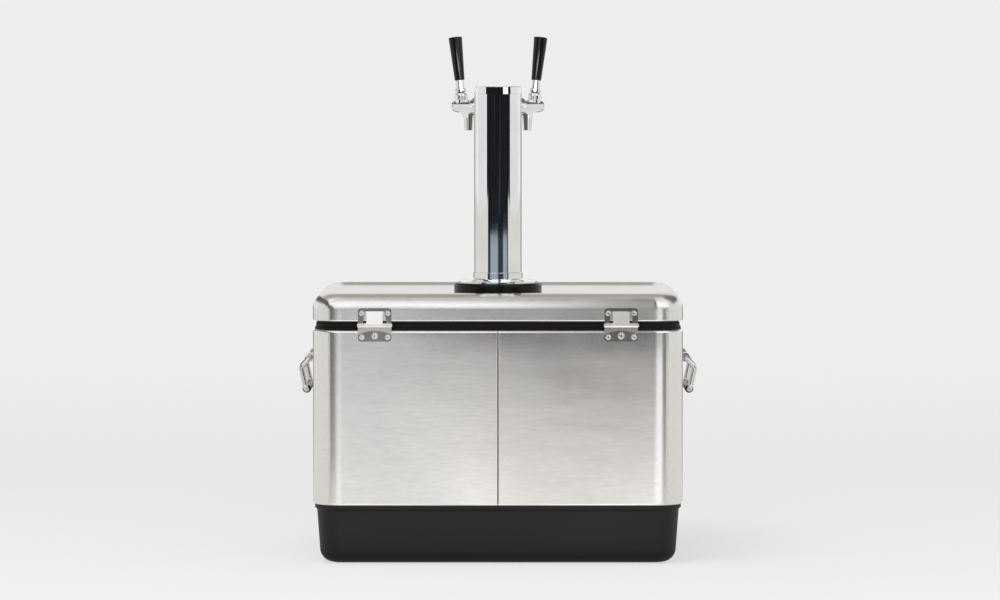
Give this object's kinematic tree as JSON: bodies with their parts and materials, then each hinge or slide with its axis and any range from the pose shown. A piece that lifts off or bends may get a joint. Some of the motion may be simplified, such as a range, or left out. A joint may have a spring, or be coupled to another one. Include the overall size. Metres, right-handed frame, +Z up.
{
  "type": "portable keg cooler",
  "caption": "Steel-belted insulated ice chest with a hinged lid that carries a chrome draft tower with lever taps, for chilling and serving beer from kegs in the ice.",
  "frame": {"origin": "middle of the flat face under the base that the chest stands on", "axes": "+Z up; the hinges are on the -Y side, the latch and the taps on the +Y side; +X is to the right for someone facing the hinge side"},
  "size_m": [0.6438, 0.4341, 0.839],
  "materials": {
    "belt_steel": "brushed",
    "lid_steel": "brushed",
    "black_plastic": "fine grain",
    "handle_plastic": "satin",
    "white_plastic": "smooth",
    "foam": "cellular",
    "rubber": "matt",
    "fitting_steel": "polished",
    "chrome": "mirror polished",
    "inner_metal": "plain"
  },
  "bodies": {
    "chest": {"base_shell": "black_plastic", "steel_belt": "belt_steel", "foam_core": "foam", "liner": "white_plastic", "top_rim": "black_plastic", "drain_spout": "black_plastic", "drain_washer": "rubber", "hinge_lower_leaf_left": "fitting_steel", "hinge_lower_leaf_right": "fitting_steel", "hinge_pin_left": "fitting_steel", "hinge_pin_right": "fitting_steel", "chest_screws": "fitting_steel", "hinge_dome_screws": "fitting_steel", "handle_bracket_left": "fitting_steel", "handle_bracket_right": "fitting_steel", "latch_catch": "fitting_steel"},
    "lid": {"lid_shell": "lid_steel", "lid_foam": "foam", "lid_liner": "white_plastic", "lid_seal": "rubber", "line_sleeve": "black_plastic", "hinge_upper_leaf_left": "fitting_steel", "hinge_upper_leaf_right": "fitting_steel", "lid_screws": "fitting_steel", "latch_bracket": "fitting_steel", "latch_pin": "fitting_steel", "tower_ring": "black_plastic", "tower_flange": "chrome", "tower_screws": "chrome", "tower_column": "chrome", "tower_cap": "chrome", "shank_left": "chrome", "shank_right": "chrome", "shank_lock_nuts": "inner_metal", "shank_spacers": "black_plastic", "hose_tailpieces": "inner_metal", "hose_nuts": "inner_metal", "coupling_nut_left": "chrome", "coupling_nut_right": "chrome", "faucet_body_left": "chrome", "faucet_body_right": "chrome", "bonnet_left": "chrome", "bonnet_right": "chrome"},
    "drain_plug": {"drain_cap": "black_plastic"},
    "hasp": {"latch_hasp": "fitting_steel"},
    "bail_left": {"handle_bail_left": "fitting_steel", "handle_grip_left": "black_plastic"},
    "tap_lever_left": {"lever_left": "chrome", "ferrule_left": "chrome", "tap_handle_left": "handle_plastic"},
    "valve_left": {"valve_shaft_left": "inner_metal", "valve_washer_left": "rubber"},
    "bail_right": {"handle_bail_right": "fitting_steel", "handle_grip_right": "black_plastic"},
    "tap_lever_right": {"lever_right": "chrome", "ferrule_right": "chrome", "tap_handle_right": "handle_plastic"},
    "valve_right": {"valve_shaft_right": "inner_metal", "valve_washer_right": "rubber"}
  },
  "joints": [
    {"name": "lid_hinge", "type": "hinge", "parent": "chest", "child": "lid", "pos_m": [0, -0.2098, 0.3808], "axis": [1, 0, 0], "range_deg": [0, 115]},
    {"name": "hasp_swing", "type": "hinge", "parent": "lid", "child": "hasp", "pos_m": [0, 0.2124, 0.3955], "axis": [1, 0, 0], "range_deg": [-4, 150]},
    {"name": "drain_cap_turn", "type": "hinge", "parent": "chest", "child": "drain_plug", "pos_m": [-0.28, 0.092, 0.051], "axis": [-1, 0, 0], "continuous": true},
    {"name": "bail_left_swing", "type": "hinge", "parent": "chest", "child": "bail_left", "pos_m": [-0.3036, 0, 0.3205], "axis": [0, 1, 0], "range_deg": [0, 105]},
    {"name": "tap_left_lever", "type": "hinge", "parent": "lid", "child": "tap_lever_left", "pos_m": [-0.0594, -0.0426, 0.7445], "axis": [-0.7071, -0.7071, 0], "range_deg": [0, 26]},
    {"name": "tap_left_valve", "type": "slide", "parent": "lid", "child": "valve_left", "axis": [-0.7071, 0.7071, 0], "range_m": [-0.0075, 0]},
    {"name": "bail_right_swing", "type": "hinge", "parent": "chest", "child": "bail_right", "pos_m": [0.3036, 0, 0.3205], "axis": [0, -1, 0], "range_deg": [0, 105]},
    {"name": "tap_right_lever", "type": "hinge", "parent": "lid", "child": "tap_lever_right", "pos_m": [0.0594, -0.0426, 0.7445], "axis": [-0.7071, 0.7071, 0], "range_deg": [0, 26]},
    {"name": "tap_right_valve", "type": "slide", "parent": "lid", "child": "valve_right", "axis": [0.7071, 0.7071, 0], "range_m": [-0.0075, 0]}
  ],
  "couplings": [
    {"joint": "tap_left_valve", "follows": "tap_left_lever", "m_per_rad": -0.016527},
    {"joint": "tap_right_valve", "follows": "tap_right_lever", "m_per_rad": -0.016527}
  ]
}
